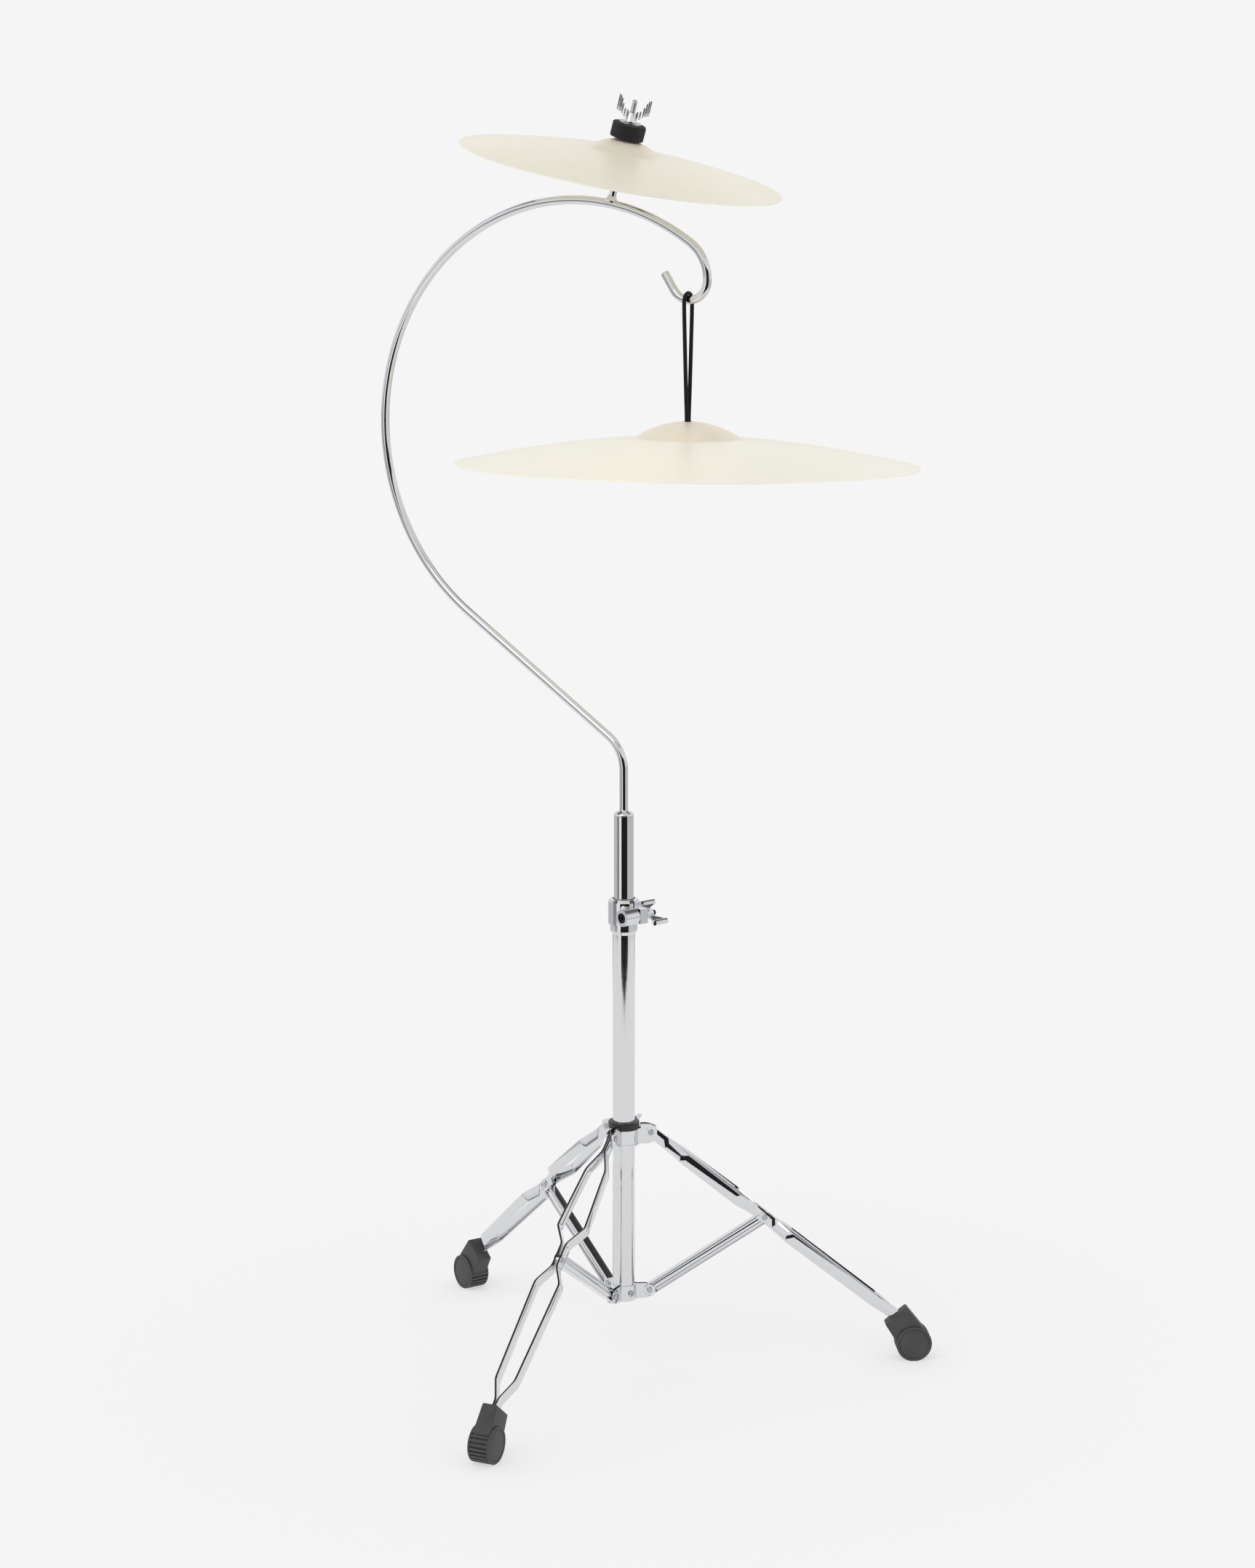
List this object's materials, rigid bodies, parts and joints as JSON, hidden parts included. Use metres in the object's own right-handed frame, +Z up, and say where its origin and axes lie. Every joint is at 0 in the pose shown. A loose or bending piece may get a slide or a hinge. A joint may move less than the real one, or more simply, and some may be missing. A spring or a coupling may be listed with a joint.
{
  "type": "cymbal stand with two cymbals",
  "caption": "Chrome cymbal stand on a folding tripod: a curved arm hangs a large cymbal on a loop of cord from its hook and carries a small cymbal on felts on top.",
  "frame": {"origin": "on the floor, on the axis of the upright tubes", "axes": "+Z up; -Y is the front, where the view is from; +X is to the right seen from the front"},
  "size_m": [0.6334, 0.6286, 1.4448],
  "materials": {
    "chrome": "bright chrome plate",
    "steel": "zinc-plated steel",
    "bronze": "pale, lathed cymbal bronze with a soft sheen",
    "rubber": "matt moulded rubber",
    "nylon": "black nylon",
    "felt": "pressed charcoal felt",
    "cord": "black braided cord"
  },
  "bodies": {
    "base": {"base_tube": "chrome", "bracket_petal_1": "chrome", "bracket_petal_2": "chrome", "bracket_petal_3": "chrome", "bracket_screws": "steel", "brace_rivets": "steel", "clamp_body": "chrome", "clamp_bolt": "steel", "clamp_washer": "steel"},
    "clamp_nut": {"clamp_nut": "chrome"},
    "hub": {"hub_body": "chrome", "hub_ring": "nylon", "hub_rivets": "steel"},
    "hub_lock": {"hub_lock": "chrome"},
    "swivel": {"slide_bush": "nylon"},
    "upper": {"upper_tube": "chrome", "tube_plug": "chrome", "gooseneck": "chrome", "post": "chrome", "post_weld": "chrome", "seat_washer": "steel", "sleeve": "nylon", "upper_washer": "steel"},
    "top_nut": {"top_nut": "chrome"},
    "felts": {"lower_felt": "felt", "upper_felt": "felt"},
    "small_cymbal": {"small_cymbal": "bronze"},
    "cord": {"cord_loop": "cord"},
    "knot": {"cord_knot": "cord"},
    "large_cymbal": {"large_cymbal": "bronze"},
    "leg_1": {"leg_1_strap_left": "chrome", "leg_1_strap_right": "chrome", "leg_1_foot": "rubber", "leg_1_rivet": "steel"},
    "brace_1": {"leg_1_brace": "chrome"},
    "leg_2": {"leg_2_strap_left": "chrome", "leg_2_strap_right": "chrome", "leg_2_foot": "rubber", "leg_2_rivet": "steel"},
    "brace_2": {"leg_2_brace": "chrome"},
    "leg_3": {"leg_3_strap_left": "chrome", "leg_3_strap_right": "chrome", "leg_3_foot": "rubber", "leg_3_rivet": "steel"},
    "brace_3": {"leg_3_brace": "chrome"}
  },
  "joints": [
    {"name": "clamp_nut_turn", "type": "hinge", "parent": "base", "child": "clamp_nut", "pos_m": [0.01286, -0.01532, 0.5355], "axis": [0.766, 0.6428, 0], "continuous": true},
    {"name": "hub_slide", "type": "slide", "parent": "base", "child": "hub", "axis": [0, 0, 1], "range_m": [0, 0.125]},
    {"name": "hub_lock_turn", "type": "hinge", "parent": "hub", "child": "hub_lock", "pos_m": [0, 0, 0.2745], "axis": [0.4384, 0.8988, 0], "continuous": true},
    {"name": "swivel", "type": "hinge", "parent": "base", "child": "swivel", "pos_m": [0, 0, 0.54], "axis": [0, 0, 1], "continuous": true},
    {"name": "height", "type": "slide", "parent": "swivel", "child": "upper", "axis": [0, 0, 1], "range_m": [-0.09, 0.19]},
    {"name": "top_nut_turn", "type": "hinge", "parent": "upper", "child": "top_nut", "pos_m": [0.0071, -0.0041, 1.41311], "axis": [0.2358, -0.1361, 0.9622], "continuous": true},
    {"name": "felt_spin", "type": "hinge", "parent": "upper", "child": "felts", "pos_m": [0.00255, -0.00147, 1.39454], "axis": [0.2358, -0.1361, 0.9622], "continuous": true},
    {"name": "small_cymbal_rock", "type": "hinge", "parent": "felts", "child": "small_cymbal", "pos_m": [0.00255, -0.00147, 1.39454], "axis": [0.5, 0.866, 0], "range_deg": [0, 8.8]},
    {"name": "cord_swing", "type": "hinge", "parent": "upper", "child": "cord", "pos_m": [0.06971, -0.04025, 1.2246], "axis": [0.866, -0.5, 0], "range_deg": [-10, 10]},
    {"name": "knot_spin", "type": "hinge", "parent": "cord", "child": "knot", "pos_m": [0.06971, -0.04025, 1.0932], "axis": [0, 0, 1], "continuous": true},
    {"name": "large_cymbal_tilt", "type": "hinge", "parent": "knot", "child": "large_cymbal", "pos_m": [0.06971, -0.04025, 1.0932], "axis": [1, 0, 0], "range_deg": [-5, 8]},
    {"name": "leg_1_fold", "type": "hinge", "parent": "hub", "child": "leg_1", "pos_m": [0.03058, 0.00214, 0.279], "axis": [-0.0698, 0.9976, 0], "range_deg": [0, 48]},
    {"name": "brace_1_fold", "type": "hinge", "parent": "base", "child": "brace_1", "pos_m": [0.02943, 0.00206, 0.0907], "axis": [0.0698, -0.9976, 0], "range_deg": [0, 53.5]},
    {"name": "leg_2_fold", "type": "hinge", "parent": "hub", "child": "leg_2", "pos_m": [-0.01714, 0.02541, 0.279], "axis": [-0.829, -0.5592, 0], "range_deg": [0, 48]},
    {"name": "brace_2_fold", "type": "hinge", "parent": "base", "child": "brace_2", "pos_m": [-0.0165, 0.02446, 0.0907], "axis": [0.829, 0.5592, 0], "range_deg": [0, 53.5]},
    {"name": "leg_3_fold", "type": "hinge", "parent": "hub", "child": "leg_3", "pos_m": [-0.01344, -0.02755, 0.279], "axis": [0.8988, -0.4384, 0], "range_deg": [0, 48]},
    {"name": "brace_3_fold", "type": "hinge", "parent": "base", "child": "brace_3", "pos_m": [-0.01293, -0.02651, 0.0907], "axis": [-0.8988, 0.4384, 0], "range_deg": [0, 53.5]}
  ],
  "couplings": [
    {"joint": "leg_1_fold", "follows": "hub_slide", "rad_per_m": 6.619},
    {"joint": "brace_1_fold", "follows": "hub_slide", "rad_per_m": 7.395},
    {"joint": "leg_2_fold", "follows": "hub_slide", "rad_per_m": 6.619},
    {"joint": "brace_2_fold", "follows": "hub_slide", "rad_per_m": 7.395},
    {"joint": "leg_3_fold", "follows": "hub_slide", "rad_per_m": 6.619},
    {"joint": "brace_3_fold", "follows": "hub_slide", "rad_per_m": 7.395}
  ]
}
